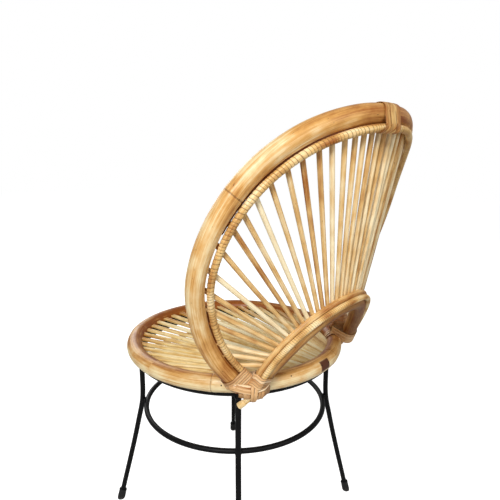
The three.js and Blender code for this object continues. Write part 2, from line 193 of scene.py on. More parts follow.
class Nodes:
    """The nodes of a material or a world, added one by one and wired together."""

    def __init__(self, tree):
        self.tree = tree

    def node(self, kind, settings, sockets, output=0):
        """Adds a node of one kind, makes its settings, then gives its sockets their values or wires."""
        made = self.tree.nodes.new(kind)
        for name, value in settings.items():
            if name == "stops":
                ramp = made.color_ramp.elements
                while len(ramp) < len(value):
                    ramp.new(0.5)
                for stop, (place, colour) in zip(ramp, value):
                    stop.position = place
                    stop.color = colour
            else:
                setattr(made, name, value)
        for name, value in sockets.items():
            if isinstance(value, Wire):
                self.tree.links.new(value.socket, made.inputs[name])
            else:
                made.inputs[name].default_value = value
        return Wire(self, made.outputs[output])

    def noise(self, place, stretch, detail):
        """Soft noise on a place whose three parts are first multiplied by stretch."""
        drawn = self.node("ShaderNodeVectorMath", {"operation": "MULTIPLY"}, {0: place, 1: stretch})
        return self.node("ShaderNodeTexNoise", {}, {"Vector": drawn, "Scale": 1.0, "Detail": detail})

    def rise(self, value, low, high):
        """0 below low, 1 above high, and an S curve between."""
        smooth = {"interpolation_type": "SMOOTHSTEP"}
        return self.node("ShaderNodeMapRange", smooth, {0: value, 1: low, 2: high})

    def mix(self, share, first, second):
        """The first colour where share is 0, the second where it is 1."""
        return self.node("ShaderNodeMix", {"data_type": "RGBA"}, {0: share, 6: first, 7: second}, 2)


class Finish(Nodes):
    """A surface finish: one Principled shader, its fixed values, and the pattern nodes that feed it."""

    def __init__(self, name, fixed):
        self.material = bpy.data.materials.new(name)
        self.material.use_nodes = True
        super().__init__(self.material.node_tree)
        self.shader = self.tree.nodes["Principled BSDF"]
        for socket, value in fixed.items():
            self.shader.inputs[socket].default_value = value

    def feed(self, socket, wire):
        """Wires a value to one of the shader's sockets."""
        self.tree.links.new(wire.socket, self.shader.inputs[socket])

    def emboss(self, height, depth):
        """Tilts the surface by a height of 0 to 1 that stands for a depth in metres."""
        bump = {"Height": height, "Distance": depth, "Strength": 1.0}
        self.feed("Normal", self.node("ShaderNodeBump", {}, bump))


def tint(red, green, blue):
    """A colour as it looks on a screen, 0 to 255 a part, in the linear light that shaders use."""
    part = np.array([red, green, blue]) / 255
    linear = np.where(part <= 0.04045, part / 12.92, ((part + 0.055) / 1.055) ** 2.4)
    return (*linear.tolist(), 1.0)


def black_coat():
    """Satin black powder coat: fine orange peel in the surface, and a faint grey bloom in broad patches."""
    finish = Finish("satin_black_powder_coat", {"Specular IOR Level": 0.14})
    place = finish.node("ShaderNodeTexCoord", {}, {}, "Object")
    peel = finish.noise(place, (900, 900, 900), 2)
    bloom = finish.noise(place, (26, 26, 26), 3)
    finish.feed("Base Color", finish.mix(finish.rise(bloom, 0.35, 0.75), tint(7, 7, 8), tint(17, 17, 18)))
    finish.feed("Roughness", 0.34 + bloom * 0.18 + peel * 0.06)
    finish.emboss(peel, 0.00006)
    return finish


def circle_round_seat(radius, height, bearings):
    """Points at bearings round the seat's upright axis, at one radius and height from the seat's middle."""
    across = radius * np.cos(bearings)
    rearward = radius * np.sin(bearings)
    return SEAT + np.stack([across, rearward, height + 0 * bearings], axis=-1)


BLACK_COAT = black_coat()
TURN = np.linspace(0, 2 * np.pi, 180, endpoint=False)
for ring_name in ("base_top_ring", "base_stretcher_ring"):
    low, high = np.array(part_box(ring_name))
    ring_path = circle_round_seat((high[0] - low[0] - BAR) / 2, (low[2] + high[2]) / 2 - SEAT[2], TURN)
    ring_rod = rod(ring_path, UP, BAR / 2, BAR_SIDES, ring=True)
    assemble(ring_name + "_bar", [ring_rod], BLACK_COAT, [ring_name])

leg_line = bend(LEG_PROFILE, measure(LEG_PROFILE), 90)
leg_beads = []
foot_ends = []
for number, bearing in enumerate(LEG_BEARINGS, 1):
    outward = np.array([np.cos(bearing), np.sin(bearing), 0.0])
    sideways = np.array([-np.sin(bearing), np.cos(bearing), 0.0])
    leg_path = SEAT + leg_line[:, :1] * outward + leg_line[:, 1:] * UP
    leg = rod(leg_path, outward, BAR / 2, BAR_SIDES)
    assemble(f"leg_{number}_bar", [leg], BLACK_COAT, [f"leg_{number}"])
    foot_ends.append((leg_path[-1], unit(leg_path[-1] - leg_path[-2]), outward))
    collar = np.linspace(0, 1, 12)
    collar_path = at_run(leg_path, COLLAR_START + COLLAR_LENGTH * collar)
    lump = np.sin(7 * np.linspace(0, 2 * np.pi, BAR_SIDES, endpoint=False) + number)
    swell = COLLAR_SWELL * np.sin(np.pi * collar)[:, None] ** 0.8 * (1 + COLLAR_LUMP * lump)
    leg_beads.append(rod(collar_path, outward, BAR / 2 + swell, BAR_SIDES))
    share = np.linspace(-1, 1, 13)
    weld_middle = SEAT + STRETCHER_WELD[0] * outward + STRETCHER_WELD[1] * UP
    bead_path = weld_middle + BEAD_HALF * share[:, None] * sideways
    bead_radius = (BEAD_EDGE + BEAD_THICK * np.sqrt(1 - share ** 2))[:, None] + BEAD_LUMP * lump
    leg_beads.append(rod(bead_path, outward, bead_radius, BAR_SIDES))
assemble("weld_beads", leg_beads, BLACK_COAT)


# Foot caps
# Moulded black rubber caps, pushed over the ends of the legs.
# Each has a thin lip at its mouth, a slight swell and a flat sole cut level with the floor.

CAP_LENGTH = 0.0245
CAP_SHARES = np.array([0.0, 0.0, 0.05, 0.09, 0.14, 0.45, 0.8, 0.93, 0.98, 1.0])
CAP_RADII = np.array([BAR / 2, 0.0082, 0.0091, 0.0091, 0.0084, 0.0088, 0.0090, 0.0088, 0.0083, 0.0074])


def rubber_skin(end, along, outward):
    """Between a circle square to the leg and the leg's own slanted outline on the floor, rows of circles grow
    by the cap's profile: a lip, a neck, a swell and a rounded edge to the sole."""
    angle = np.linspace(0, 2 * np.pi, 20, endpoint=False)
    first = unit(outward - np.dot(outward, along) * along)
    second = np.cross(along, first)
    circle = np.cos(angle)[:, None] * first + np.sin(angle)[:, None] * second
    mouth = end - CAP_LENGTH * along + CAP_RADII[:, None, None] * circle
    to_floor = -mouth[..., 2:] / along[2]
    skin = mouth + CAP_SHARES[:, None, None] * to_floor * along
    flat = np.zeros(skin.shape[:2])
    return {"skin": skin, "grain": skin - end, "ring": False, "tone": flat + 0.5, "mark": flat}


def black_rubber():
    """Matt rubber: nearly even black, dusted paler near the floor, with a fine moulded grain."""
    finish = Finish("matt_black_rubber", {"Specular IOR Level": 0.35})
    place = finish.node("ShaderNodeTexCoord", {}, {}, "Object")
    height = finish.node("ShaderNodeSeparateXYZ", {}, {0: place}, 2)
    grit = finish.noise(place, (1400, 1400, 1400), 2)
    dust = (1 - finish.rise(height, 0.001, 0.012)) * finish.noise(place, (160, 160, 160), 3)
    finish.feed("Base Color", finish.mix(dust, tint(24, 24, 25), tint(74, 71, 67)))
    finish.feed("Roughness", 0.62 + grit * 0.2)
    finish.emboss(grit, 0.00008)
    return finish


RUBBER = black_rubber()
for number, (end, along, outward) in enumerate(foot_ends, 1):
    cap = rubber_skin(end, along, outward)
    assemble(f"foot_cap_{number}_rubber", [cap], RUBBER, [f"foot_cap_{number}"])


# Seat ring
# One thick rattan pole, steamed and bent to a full ring, its ends cut to a scarf, glued and pinned together.
# The skin stays on, so it is glossy and golden, streaked along the pole, with a raised ring at each old leaf,
# a dark scarf joint at the rear and a few nail heads where the bindings start. Its outer lower face and its
# part nearest the camera are paler, a painted highlight.

SEAT_POLE = 0.0336
SEAT_RADIUS = (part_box("seat_ring")[1].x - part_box("seat_ring")[0].x - SEAT_POLE) / 2
RING_SIDES = 28
RING_THIN = 0.0004
RING_SWELL = 0.0006
RING_GROOVE = 0.0007
RING_WAVE = 0.0002
RING_LINE = 0.45
RING_KNUCKLES = np.array([0.123, 0.39, 0.63, 0.91, 1.15])
LEAF_REACH = 0.014
LEAF_SWELLING = 0.009
LEAF_LINE = 0.0013
RING_TONE = 0.39
NEAR_PAINTED_LIGHT = 0.10
NEAR_BEARING = np.radians(50)
OUTER_PAINTED_HIGHLIGHT = 0.31
OUTER_ANGLE = np.radians(115)
SPLICE_BEARING = 92
SPLICE_HALF_BEARING = 3.6
SPLICE_ANGLE = 72
SPLICE_HALF_ANGLE = 42
SPLICE_LINE = 0.9
NAIL_FACING = np.array([0.3, 0.2, 1.0])
NAIL_PLACES = ((37.5, 15), (40.5, 16), (69.5, 35), (140, 20), (146, 18), (89, 30), (95, 25))
NAIL_REACH = np.array([0.0150, 0.0168, 0.0170, 0.0171])
NAIL_RADII = np.array([0.0011, 0.0013, 0.0011, 0.0006])


def stations(length, gap, places):
    """Lengths along a pole at an even gap, with finer ones round each leaf ring."""
    fine = (np.asarray(places)[:, None] + np.linspace(-LEAF_REACH, LEAF_REACH, 36)).ravel()
    every = np.concatenate([np.arange(0, length, gap), [length], fine[(fine > 0) & (fine < length)]])
    return np.unique(every.round(6))


def leaf_rings(run, places):
    """Where leaves once grew: a low swelling 9 mm either way, and the fine line in its middle."""
    away = run[:, None] - np.asarray(places)
    swelling = np.exp(-(away / LEAF_SWELLING) ** 2).sum(axis=1)
    line = np.exp(-(away / LEAF_LINE) ** 2).sum(axis=1)
    return swelling[:, None], line[:, None]


def rattan(name, deep, middle, pale, line, gloss):
    """Rattan with its skin on: long fine streaks along the rod and broad mottling move its shade between
    deep, middle and pale; short dark flecks, the fine lines of leaf rings and the painted shade of winding
    grooves and other marks take the line colour; the lacquer is duller in the streaks."""
    finish = Finish(name, {"Coat Roughness": 0.28, "Coat Weight": gloss, "Specular IOR Level": 0.24})
    grain = finish.node("ShaderNodeAttribute", {"attribute_name": "grain"}, {}, "Vector")
    tone = finish.node("ShaderNodeAttribute", {"attribute_name": "tone"}, {}, "Fac")
    mark = finish.node("ShaderNodeAttribute", {"attribute_name": "mark"}, {}, "Fac")
    streak = finish.noise(grain, (300, 300, 8), 4)
    fibre = finish.noise(grain, (1500, 1500, 40), 2)
    mottle = finish.noise(grain, (48, 48, 26), 3)
    fleck = finish.rise(finish.noise(grain, (520, 520, 120), 2), 0.66, 0.78)
    shade = tone + (mottle - 0.5) * 1.05 + (streak - 0.5) * 0.85 + (fibre - 0.5) * 0.5
    stops = {"stops": [(0.08, deep), (0.5, middle), (0.9, pale)]}
    colour = finish.node("ShaderNodeValToRGB", stops, {0: shade})
    worn = finish.rise(1.3 - shade, 0.4, 1.0) * fleck * 0.85
    finish.feed("Base Color", finish.mix(finish.rise(mark + worn, 0.0, 1.0), colour, line))
    finish.feed("Roughness", 0.34 + streak * 0.18 + mark * 0.25)
    finish.emboss(fibre * 0.5 + streak * 0.5, 0.0002)
    return finish


POLE_FINISH = rattan("lacquered_rattan_pole", tint(150, 82, 24), tint(216, 163, 92), tint(246, 226, 178),
                     tint(78, 32, 8), gloss=0.15)
ring_run = stations(2 * np.pi * SEAT_RADIUS, gap=0.0034, places=RING_KNUCKLES)[:-1]
ring_bearing = ring_run / SEAT_RADIUS
swelling, line = leaf_rings(ring_run, RING_KNUCKLES)
pole_path = circle_round_seat(SEAT_RADIUS, 0.0, ring_bearing)
pole_radius = SEAT_POLE / 2 - RING_THIN + RING_SWELL * swelling - RING_GROOVE * line
pole_radius += RING_WAVE * np.sin(5 * ring_bearing + 1)[:, None]
from_near = np.cos(ring_bearing - NEAR_BEARING)[:, None]
around_pole = np.linspace(0, 2 * np.pi, RING_SIDES, endpoint=False)
# Painted highlight: the ring's outer lower face is paler, and so is its part nearest the camera and the
# lamps.
ring_tone = RING_TONE + NEAR_PAINTED_LIGHT * from_near + OUTER_PAINTED_HIGHLIGHT * np.cos(around_pole - OUTER_ANGLE)
past_splice = np.degrees(ring_bearing)[:, None] - SPLICE_BEARING
round_splice = np.degrees(around_pole) - SPLICE_ANGLE
splice = (np.abs(past_splice) < SPLICE_HALF_BEARING) & (np.abs(round_splice) < SPLICE_HALF_ANGLE)
ring_mark = np.maximum(RING_LINE * line, SPLICE_LINE * splice)
seat_pole = rod(pole_path, UP, pole_radius, RING_SIDES, ring=True, tone=ring_tone, mark=ring_mark)
assemble("seat_ring_pole", [seat_pole], POLE_FINISH, ["seat_ring"])
nails = []
for nail_bearing, nail_lift in NAIL_PLACES:
    lift = np.radians(nail_lift)
    level = circle_round_seat(SEAT_RADIUS, 0.0, np.radians(np.full(len(NAIL_REACH), nail_bearing)))
    outward = unit((level - SEAT) * [1, 1, 0])
    nail_path = level + NAIL_REACH[:, None] * (np.cos(lift) * outward + np.sin(lift) * UP)
    nails.append(rod(nail_path, NAIL_FACING, NAIL_RADII[:, None], sides=10))
assemble("seat_ring_nails", nails, BLACK_COAT)


# Seat canes
# Peeled canes laid in pairs from the rear of the ring to its front, wide apart in front and close behind.
# Their ends are pinned into the ring's inner side, and two cross canes carry them. A thin black bar under
# their ends is painted shade, dark in the gaps at the rim.

PAIRS = 28
PAIR_STEP = np.radians(7.45)
REAR_STEP = 0.0078
RIM = SEAT_RADIUS - 0.0148
CANE_REAR = 0.0021
CANE_FRONT = 0.0030
CANE_BELLY = 0.0007
CANE_BITE = 0.004
CANE_LIFT = 0.0042
FRONT_HALF_GAP = 0.0031
REAR_HALF_GAP = 0.00195
BATTEN = 0.0045
BATTEN_BITE = 0.003
BATTEN_LIFT = -0.0035
BATTEN_PLACES = (-0.095, 0.095)
RIM_SHADE_RADIUS = 0.0052
RIM_SHADE_INSET = 0.004
RIM_SHADE_LIFT = -0.0065
CHANCE = np.random.default_rng(11)


def tapered_cane(start, end, start_radius, end_radius, tone, bow, rows=15, sides=10, belly=0.0):
    """A straight cane between two points that tapers evenly, thicker in its middle by belly, with a shallow
    bow off its line and cut, rounded ends. Its tone drops near the far end by the eighth power of the share
    run, a painted shade where the cane runs into the hoop or the ring."""
    share = np.concatenate([[0, 0.002], np.linspace(0.008, 0.992, rows), [0.998, 1]])
    path = start + share[:, None] * (end - start) + np.sin(np.pi * share)[:, None] * bow
    round_off = np.ones(len(share))
    round_off[[0, 1, -2, -1]] = [0.72, 0.92, 0.92, 0.72]
    taper = start_radius + share * (end_radius - start_radius)
    radius = (taper + belly * np.sin(np.pi * share)) * round_off
    # Painted shade: the tone drops near the far end, where the cane runs into the hoop or the ring.
    shade = tone - 0.3 * share[:, None] ** 8
    return rod(path, UP, radius[:, None], sides, tone=shade)


seat_canes = []
for pair in range(PAIRS):
    place = pair - (PAIRS - 1) / 2
    front_bearing = np.radians(-90) + place * PAIR_STEP
    rear_bearing = np.arccos(np.clip(place * REAR_STEP / RIM, -1, 1))
    shade = 0.56 + CHANCE.normal(0, 0.16)
    for side in (-1, 1):
        front_place = np.array(front_bearing + side * FRONT_HALF_GAP / RIM)
        rear_place = np.array(rear_bearing - side * REAR_HALF_GAP / RIM)
        front = circle_round_seat(RIM + CANE_BITE, CANE_LIFT, front_place)
        rear = circle_round_seat(RIM + CANE_BITE, CANE_LIFT, rear_place)
        bow = np.array([CHANCE.normal(0, 0.0004), 0.0, CHANCE.normal(0.0003, 0.0004)])
        own = shade + CHANCE.normal(0, 0.08)
        seat_canes.append(tapered_cane(rear, front, CANE_REAR, CANE_FRONT, own, bow, belly=CANE_BELLY))
for across in BATTEN_PLACES:
    reach = np.sqrt(RIM ** 2 - across ** 2) + BATTEN_BITE
    ends = SEAT + np.array([[-reach, across, BATTEN_LIFT], [reach, across, BATTEN_LIFT]])
    seat_canes.append(tapered_cane(ends[0], ends[1], BATTEN, BATTEN, tone=0.4, bow=np.zeros(3)))
CANE_FINISH = rattan("peeled_seat_cane", tint(184, 128, 52), tint(234, 202, 134), tint(251, 238, 198),
                     tint(100, 54, 16), gloss=0.08)
assemble("seat_canes", seat_canes, CANE_FINISH, ["seat_slats"])
# Painted shade: a thin black bar under the cane ends, showing dark in the gaps at the rim.
rim_shade_path = circle_round_seat(RIM - RIM_SHADE_INSET, RIM_SHADE_LIFT, TURN)
rim_shade_bar = rod(rim_shade_path, UP, RIM_SHADE_RADIUS, sides=10, ring=True)
assemble("seat_rim_shade_bar", [rim_shade_bar], BLACK_COAT)


# Outer hoop
# One thick rattan pole, steamed and bent to the outline of the back, its feet set on the outside of the seat
# ring and tied there. The skin is left on: mottled gold and glossy, with a few old leaf rings.

HOOP_POLE = 0.0294
HOOP_THIN = 0.0003
HOOP_SWELL = 0.0004
HOOP_GROOVE = 0.0005
HOOP_LINE = 0.6
HOOP_HUB = 0.2175
BACK_BOW = (0.2523, 0.1094, 0.0346)
BACK_WRAP = (3.136, -2.148, -1.164)
EDGE_EASE = 15.53
HALF_OUTLINE = np.array([
    [0.000, 0.435],
    [0.077, 0.429],
    [0.149, 0.404],
    [0.209, 0.356],
    [0.248, 0.290],
    [0.260, 0.215],
    [0.244, 0.140],
    [0.213, 0.070],
    [0.1715, 0.010],
])
TONE_RUNS = [-0.68, -0.60, -0.50, -0.10, 0.0, 0.02, 0.10, 0.20, 0.283, 0.33, 0.45, 0.55, 0.62, 0.68]
TONES = [0.15, 0.35, 0.45, 0.35, 0.22, 0.34, 0.44, 0.62, 0.60, 0.66, 0.58, 0.44, 0.30, 0.12]


def on_back(across, height):
    """The back's surface: behind the seat's middle by a slight lean and bow up its middle line, less a wrap
    forward that grows with the square of the distance across, opens out with height and eases at the
    edges."""
    middle = BACK_BOW[0] + BACK_BOW[1] * height + BACK_BOW[2] * height ** 2
    wrap = BACK_WRAP[0] + BACK_WRAP[1] * height + BACK_WRAP[2] * height ** 2
    return SEAT + np.stack([across, middle - wrap * across ** 2 + EDGE_EASE * across ** 4, height], axis=-1)


def section(path, hub):
    """At each point of a path on the back, the direction to a hub as seen from the front and the direction
    behind, both square to the path."""
    along = unit(np.gradient(path, axis=0))
    inward = (hub - path) * np.array([1.0, 0.0, 1.0])
    inward = unit(inward - np.sum(inward * along, axis=1, keepdims=True) * along)
    behind = np.cross(along, inward)
    return inward, behind * np.sign(behind[:, 1:2])


outline = np.concatenate([HALF_OUTLINE[:0:-1] * [-1, 1], HALF_OUTLINE])
flat_hoop = bend(outline, np.arange(len(outline), dtype=float), count=1401)
HOOP = on_back(flat_hoop[:, 0], flat_hoop[:, 1])
INWARD, BEHIND = section(HOOP, SEAT + HOOP_HUB * UP)
HOOP_LENGTH = measure(HOOP)[-1]
HOOP_KNUCKLES = HOOP_LENGTH / 2 + np.array([-0.50, -0.19, 0.283])
hoop_run = stations(HOOP_LENGTH, gap=0.0032, places=HOOP_KNUCKLES)
swelling, line = leaf_rings(hoop_run, HOOP_KNUCKLES)
hoop_radius = HOOP_POLE / 2 - HOOP_THIN + HOOP_SWELL * swelling - HOOP_GROOVE * line
hoop_tone = np.interp(hoop_run - HOOP_LENGTH / 2, TONE_RUNS, TONES)[:, None]
hoop_facing = at_run(HOOP, hoop_run, INWARD)
hoop_path = at_run(HOOP, hoop_run)
hoop_pole = rod(hoop_path, hoop_facing, hoop_radius, sides=26, tone=hoop_tone, mark=HOOP_LINE * line)
assemble("outer_hoop_pole", [hoop_pole], POLE_FINISH, ["outer_hoop"])


# Inner hoop
# A thin rattan rod on the rear inner side of the outer hoop, wound from end to end with flat cane.
# It covers the heads of the spokes; each turn of the winding lies tight against the next. A thin cane is
# packed between the two hoops over the crown and at the feet, dark as painted shade in the gap between them.

INNER_INSET = 0.0177
INNER_BEHIND = 0.0140
INNER_ROD = 0.0055
INNER_TURN = 0.0056
WINDING_THIN = 0.0004
WINDING_RISE = 0.0006
FAR_SIDE = -0.02
FAR_SEEN = 0.45
PACKING = 0.0022
PACKING_INSET = 0.0138
PACKING_BEHIND = 0.0072
PACKING_STOP = 0.012
PACKING_SPANS = ((-0.70, -0.46), (-0.30, 0.34), (0.46, 0.70))


def wound(path, facing, core, turn, tone, seen, sides=14):
    """A rod wound with flat cane: along the helix of the turns the radius rises to a flat crown and drops
    to a narrow groove once a turn. mark, a painted shade in the groove, is greatest there and less where the
    winding is hardly seen."""
    run = np.arange(0, measure(path)[-1], turn / 7)
    angle = np.linspace(0, 2 * np.pi, sides, endpoint=False)
    wander = (0.35 * np.sin(run * 61) + 0.25 * np.sin(run * 173 + 1))[:, None]
    phase = (run[:, None] / turn + wander - angle / (2 * np.pi)) % 1
    crown = 1 - np.abs(2 * phase - 1) ** 5
    held = np.broadcast_to(seen, measure(path).shape)
    shown = np.interp(run, measure(path), held)[:, None]
    fresh = np.floor(run[:, None] / turn + wander - angle / (2 * np.pi))
    own = tone + 0.22 * np.sin(fresh * 12.9898) * shown
    radius = core - WINDING_THIN + WINDING_RISE * crown * (0.3 + 0.7 * shown)
    # Painted shade: the groove between turns takes the line colour through mark.
    groove_shade = 0.9 * (1 - crown) * shown
    return rod(at_run(path, run), at_run(path, run, facing), radius, sides, tone=own, mark=groove_shade)


WINDING_FINISH = rattan("flat_cane_winding", tint(160, 96, 36), tint(222, 180, 112), tint(248, 226, 178),
                        tint(88, 44, 12), gloss=0.1)
inner_path = HOOP + INNER_INSET * INWARD + INNER_BEHIND * BEHIND
inner_seen = np.where(HOOP[:, 0] < FAR_SIDE, FAR_SEEN, 1.0)
inner_hoop = wound(inner_path, INWARD, INNER_ROD, INNER_TURN, tone=0.50, seen=inner_seen)
assemble("inner_hoop_winding", [inner_hoop], WINDING_FINISH, ["inner_hoop"], crease=70)
packing_path = HOOP + PACKING_INSET * INWARD + PACKING_BEHIND * BEHIND
packing = []
for start, end in PACKING_SPANS:
    ends = HOOP_LENGTH / 2 + np.array([start, end])
    start, end = np.clip(ends, PACKING_STOP, HOOP_LENGTH - PACKING_STOP)
    packing_run = np.arange(start, end, 0.004)
    thin_end = 0.3 + 0.7 * np.sin(np.pi * np.linspace(0, 1, len(packing_run))) ** 0.2
    packing_facing = at_run(HOOP, packing_run, INWARD)
    packing_line = at_run(HOOP, packing_run, packing_path)
    packing_radius = PACKING * thin_end[:, None]
    # Painted shade: tone 0 and mark 0.55 make the packing cane dark, standing for the shade in the gap
    # between the hoops.
    packing.append(rod(packing_line, packing_facing, packing_radius, sides=8, tone=0.0, mark=0.55))
assemble("painted_shade_packing_cane", packing, POLE_FINISH)


# Back arch
# A thick pole bent to a low arch over the rear of the seat, its legs set on the outside of the seat ring.
# Two thin rods are pinned along its upper rear side: a plain one that covers the feet of the spokes, and one
# wound with fine cane whose cut tail shows under the lashing.

ARCH_POLE = 0.0286
ARCH_RISE = 0.139
ARCH_HALF = 0.1565
ARCH_POWER = 2.29
ARCH_SIDES = 26
ARCH_HUB = -0.060
ARCH_PAINTED_SHADE = 0.6
PAINTED_SHADE_ANGLE = np.radians(58)
ARCH_ROD = 0.0102
ROD_REACH = 0.0197
ROD_LEAN = 33
LEFT_LEAN = 50
RIGHT_LEAN = 22
TOP_ROD_STEP = 30.9
REAR_TURN = 0.0036
TAIL_START = 0.045
TAIL_BEND = 0.012 * np.array([0.657, -0.754, 0.0])
TAIL_RUNS = np.array([-0.0140, -0.0120, -0.0080, -0.0010, -0.0002])
TAIL_RADII = np.array([0.0048, 0.0058, 0.0061, 0.0062, 0.0056])
ROD_FINISH = rattan("peeled_rattan_rod", tint(158, 92, 32), tint(221, 180, 116), tint(249, 232, 192),
                    tint(88, 44, 12), gloss=0.1)


def arch_line(left_end, right_end):
    """The arch on the back's surface, as a power curve from a height on the left leg to one on the right."""
    left = ARCH_HALF * (1 - left_end / ARCH_RISE) ** (1 / ARCH_POWER)
    right = ARCH_HALF * (1 - right_end / ARCH_RISE) ** (1 / ARCH_POWER)
    across = np.linspace(-left, right, 901)
    return on_back(across, ARCH_RISE * (1 - np.abs(across / ARCH_HALF) ** ARCH_POWER))


def rod_on_pole(line, step):
    """A rod that lies along the arch pole: from the rear of the pole it leans up by an angle that grows
    towards the left leg, and over the right haunch, where it comes back at the foot. step adds to the
    angle."""
    across = line[:, 0] - SEAT[0]
    out = np.minimum(np.abs(across) / ARCH_HALF, 1)
    more = np.where(across > 0, RIGHT_LEAN * np.sin(np.pi * out ** 2.5), LEFT_LEAN * out ** 3)
    lean = np.radians(ROD_LEAN + more + step)[:, None]
    inward, behind = section(line, SEAT + ARCH_HUB * UP)
    return line + ROD_REACH * (np.cos(lean) * behind - np.sin(lean) * inward), behind


ARCH_LINE = arch_line(left_end=0.006, right_end=0.006)
arch_run = np.linspace(0, measure(ARCH_LINE)[-1], 240)
arch_facing = np.array([0.0, 1.0, 0.0])
around_arch = np.linspace(0, 2 * np.pi, ARCH_SIDES, endpoint=False)
# Painted shade: the arch pole's lower rear side takes the line colour, standing for the shade under the rods.
arch_painted_shade = ARCH_PAINTED_SHADE * (0.5 + 0.5 * np.cos(around_arch + PAINTED_SHADE_ANGLE)) ** 1.3
arch_path = at_run(ARCH_LINE, arch_run)
arch_pole = rod(arch_path, arch_facing, ARCH_POLE / 2, ARCH_SIDES, tone=0.34, mark=arch_painted_shade)
assemble("arch_pole_bent", [arch_pole], POLE_FINISH, ["arch_pole"])
top_path, top_facing = rod_on_pole(arch_line(left_end=0.020, right_end=0.020), TOP_ROD_STEP)
top_run = np.linspace(0, measure(top_path)[-1], 200)
top_outward = at_run(top_path, top_run, top_facing)
top_rod = rod(at_run(top_path, top_run), top_outward, ARCH_ROD / 2, sides=14, tone=0.38)
assemble("arch_top_cane", [top_rod], ROD_FINISH, ["arch_top_rod"])
rear_path, rear_facing = rod_on_pole(arch_line(left_end=0.020, right_end=-0.017), step=0)
tail_share = np.clip((measure(rear_path) - measure(rear_path)[-1]) / TAIL_START + 1, 0, 1)[:, None]
rear_path = rear_path + tail_share ** 2 * TAIL_BEND
rear_rod = wound(rear_path, rear_facing, ARCH_ROD / 2, REAR_TURN, tone=0.54, seen=0.85)
tail_path = at_run(rear_path, measure(rear_path)[-1] + TAIL_RUNS)
tail = rod(tail_path, arch_facing, TAIL_RADII[:, None], sides=16, tone=0.75)
assemble("arch_rear_winding", [rear_rod, tail], WINDING_FINISH, ["arch_rear_rod"], crease=70)


# Spokes
# Forty straight peeled canes that fan from the arch to the hoop. Each foot is nailed to the top of the arch
# pole, in front of the plain rod, and each head passes in front of the inner hoop to the outer one.

RIGHT_STEPS = [8, 16, 16, 17, 17, 19, 22, 21, 27, 25, 29, 27, 27, 25, 34, 38, 32, 31, 26, 41, 26, 26]
LEFT_STEPS = [8, 18, 19, 20, 22, 25, 28, 31, 33, 34, 35, 37, 40, 42, 42, 42, 40, 36]
HEAD_INSET = 0.0127
HEAD_BEHIND = 0.0041
HEAD_SHIFT = 0.0043
FOOT_STEP = 0.0092
FOOT_SHIFT = -0.019
FOOT_BITE = 0.011
FOOT_RADIUS = 0.0037
HEAD_RADIUS = 0.0041
SPOKE_TONE = 0.62
ORANGE_CANES = {("right", 14): 0.32, ("right", 9): 0.36, ("left", 4): 0.38, ("left", 13): 0.36}
inner_middle = measure(inner_path)[-1] / 2
head_path = HOOP + HEAD_INSET * INWARD + HEAD_BEHIND * BEHIND
arch_middle = measure(ARCH_LINE)[-1] / 2
for side_name, side, heads in (("left", -1, LEFT_STEPS), ("right", 1, RIGHT_STEPS)):
    canes = []
    for order, along_hoop in enumerate(0.001 * np.cumsum(heads)):
        head = at_run(inner_path, inner_middle + side * along_hoop + HEAD_SHIFT, head_path)
        foot = at_run(ARCH_LINE, arch_middle + side * FOOT_STEP * (order + 0.5) + FOOT_SHIFT)
        foot = foot + FOOT_BITE * unit(head - foot)
        bow = CHANCE.normal(0, 0.0007, 3)
        # Painted light: the left spokes, on the far half turned from the key lamp, are 0.1 paler in tone than
        # the right ones.
        shade = SPOKE_TONE - 0.05 * side + CHANCE.normal(0, 0.16)
        own = ORANGE_CANES.get((side_name, order + 1), shade)
        canes.append(tapered_cane(foot, head, FOOT_RADIUS, HEAD_RADIUS, own, bow, rows=24, sides=12))
    nodes = [f"spoke_{side_name}_{order}" for order in range(1, len(heads) + 1)]
    assemble(f"{side_name}_spokes", canes, ROD_FINISH, nodes)


# Top wrap
# Three wide strips of flat cane wound side by side round both hoops at the crown.
# They draw the inner hoop tight against the outer one, and their ends are tucked under.

WRAP_MIDDLE = HOOP_LENGTH / 2 + 0.018
WRAP_LEAN = 0.0095
WRAP_WIDTH = 0.0132
WOUND_RADIUS = 0.0056
WRAP_PLACES = ((-0.0128, -0.0015, 0.24), (0.0, 0.0, 0.30), (0.0128, 0.0015, 0.22))


def strip(path, out, width, thickness, ring, tone, edge_shade):
    """A flat cane along a path on a surface: its section is a flat oval, wide across and thin along out, and
    its edges are darker, a painted shade where strips lie against each other."""
    step = np.roll(path, -1, axis=0) - np.roll(path, 1, axis=0) if ring else np.gradient(path, axis=0)
    along = unit(step)
    second = unit(out - np.sum(out * along, axis=-1, keepdims=True) * along)
    first = np.cross(second, along)
    angle = np.linspace(0, 2 * np.pi, 14, endpoint=False)
    wide = width / 2 * np.sign(np.cos(angle)) * np.abs(np.cos(angle)) ** 0.6
    deep = thickness / 2 * np.sign(np.sin(angle)) * np.abs(np.sin(angle)) ** 0.6
    skin = path[:, None] + wide[:, None] * first[:, None] + deep[:, None] * second[:, None]
    run = np.broadcast_to(measure(path)[:, None], skin.shape[:2])
    across = np.broadcast_to(wide, skin.shape[:2])
    # Painted shade: the edges darken towards the line colour where strips lie against each other.
    edge = np.broadcast_to(np.abs(np.cos(angle)) ** 5 * edge_shade, skin.shape[:2])
    grain = np.stack([across, 0.3 * across, run], axis=-1)
    shade = np.broadcast_to(tone, run.shape)
    return {"skin": skin, "grain": grain, "ring": ring, "tone": shade, "mark": edge}


